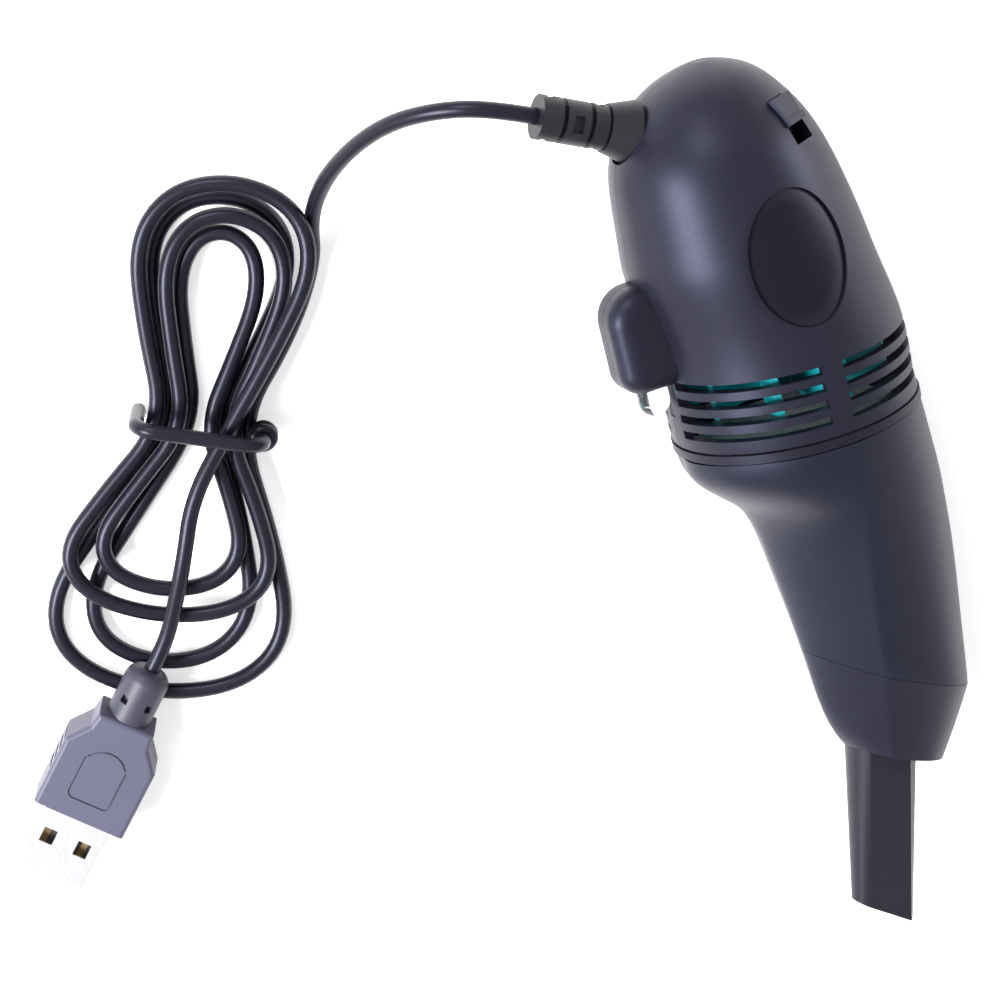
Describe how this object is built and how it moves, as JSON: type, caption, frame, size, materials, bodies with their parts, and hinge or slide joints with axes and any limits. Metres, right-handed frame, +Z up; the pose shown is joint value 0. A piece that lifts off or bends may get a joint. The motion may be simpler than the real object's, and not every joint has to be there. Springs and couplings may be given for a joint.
{
  "type": "desktop mini vacuum cleaner",
  "caption": "Hand-held USB mini vacuum: egg-shaped motor housing with lamp and slide switch, scooped dust cup, crevice nozzle, and a bundled cord with plug.",
  "frame": {"origin": "on the surface the vacuum lies on, under the middle of the vacuum's own box", "axes": "+Z up from the surface; +Y along the body towards the head, the nozzle towards -Y; the lamp side faces -X"},
  "size_m": [0.1601, 0.1513, 0.0393],
  "materials": {
    "housing_abs": "moulded ABS, fine satin",
    "inner_abs": "moulded ABS",
    "cup_abs": "moulded ABS, fine satin",
    "cap_abs": "moulded ABS, satin",
    "tube_abs": "moulded ABS, satin",
    "lip_abs": "moulded ABS",
    "slider_abs": "moulded ABS, glossy",
    "fan_teal": "moulded translucent plastic",
    "clear_lamp": "clear epoxy",
    "zinc_steel": "zinc plated",
    "motor_steel": "plated can",
    "motor_nylon": "moulded nylon",
    "brass_tabs": "stamped brass",
    "resistor_lacquer": "lacquer",
    "switch_nylon": "moulded nylon",
    "soft_pvc": "moulded PVC",
    "wire_pvc": "extruded PVC",
    "cord_pvc": "extruded PVC",
    "tie_pvc": "PVC strap",
    "plug_pvc": "moulded PVC",
    "plug_nickel": "nickel plated",
    "plug_nylon": "moulded nylon",
    "gold_contacts": "gold flash",
    "filter_felt": "felt"
  },
  "bodies": {
    "vacuum_body": {"housing_upper": "housing_abs", "housing_lower": "housing_abs", "housing_screws": "zinc_steel", "motor_can": "motor_steel", "motor_end_cap": "motor_nylon", "motor_terminals": "brass_tabs", "motor_plate": "inner_abs", "lamp": "clear_lamp", "lamp_leads": "zinc_steel", "lamp_resistor": "resistor_lacquer", "switch_body": "switch_nylon", "switch_terminals": "brass_tabs", "cord_gland": "soft_pvc", "power_wires": "wire_pvc", "cord_lead": "cord_pvc", "cord_hank": "cord_pvc", "cord_tail": "cord_pvc", "hank_tie": "tie_pvc", "plug_overmold": "plug_pvc", "plug_relief": "plug_pvc", "plug_shell": "plug_nickel", "plug_tongue": "plug_nylon", "plug_contacts": "gold_contacts"},
    "slider": {"switch_slider": "slider_abs"},
    "rotor": {"motor_rotor": "motor_steel", "fan": "fan_teal"},
    "cup": {"dust_cup": "cup_abs", "filter_frame": "lip_abs", "filter_pad": "filter_felt"},
    "cap": {"nozzle_cap": "cap_abs"},
    "tube": {"crevice_tube": "tube_abs"}
  },
  "joints": [
    {"name": "switch_slide", "type": "slide", "parent": "vacuum_body", "child": "slider", "axis": [0.3023, -0.9272, 0.2212], "range_m": [0, 0.0028]},
    {"name": "fan_spin", "type": "hinge", "parent": "vacuum_body", "child": "rotor", "pos_m": [0.00494, 0.01355, 0.01965], "axis": [0, 1, 0], "continuous": true},
    {"name": "cup_pull", "type": "slide", "parent": "vacuum_body", "child": "cup", "axis": [0, -1, 0], "range_m": [0, 0.03]},
    {"name": "cap_pull", "type": "slide", "parent": "cup", "child": "cap", "axis": [0, -1, 0], "range_m": [0, 0.012]},
    {"name": "tube_pull", "type": "slide", "parent": "cap", "child": "tube", "axis": [-0.1756, -0.9833, 0.0487], "range_m": [0, 0.012]}
  ]
}
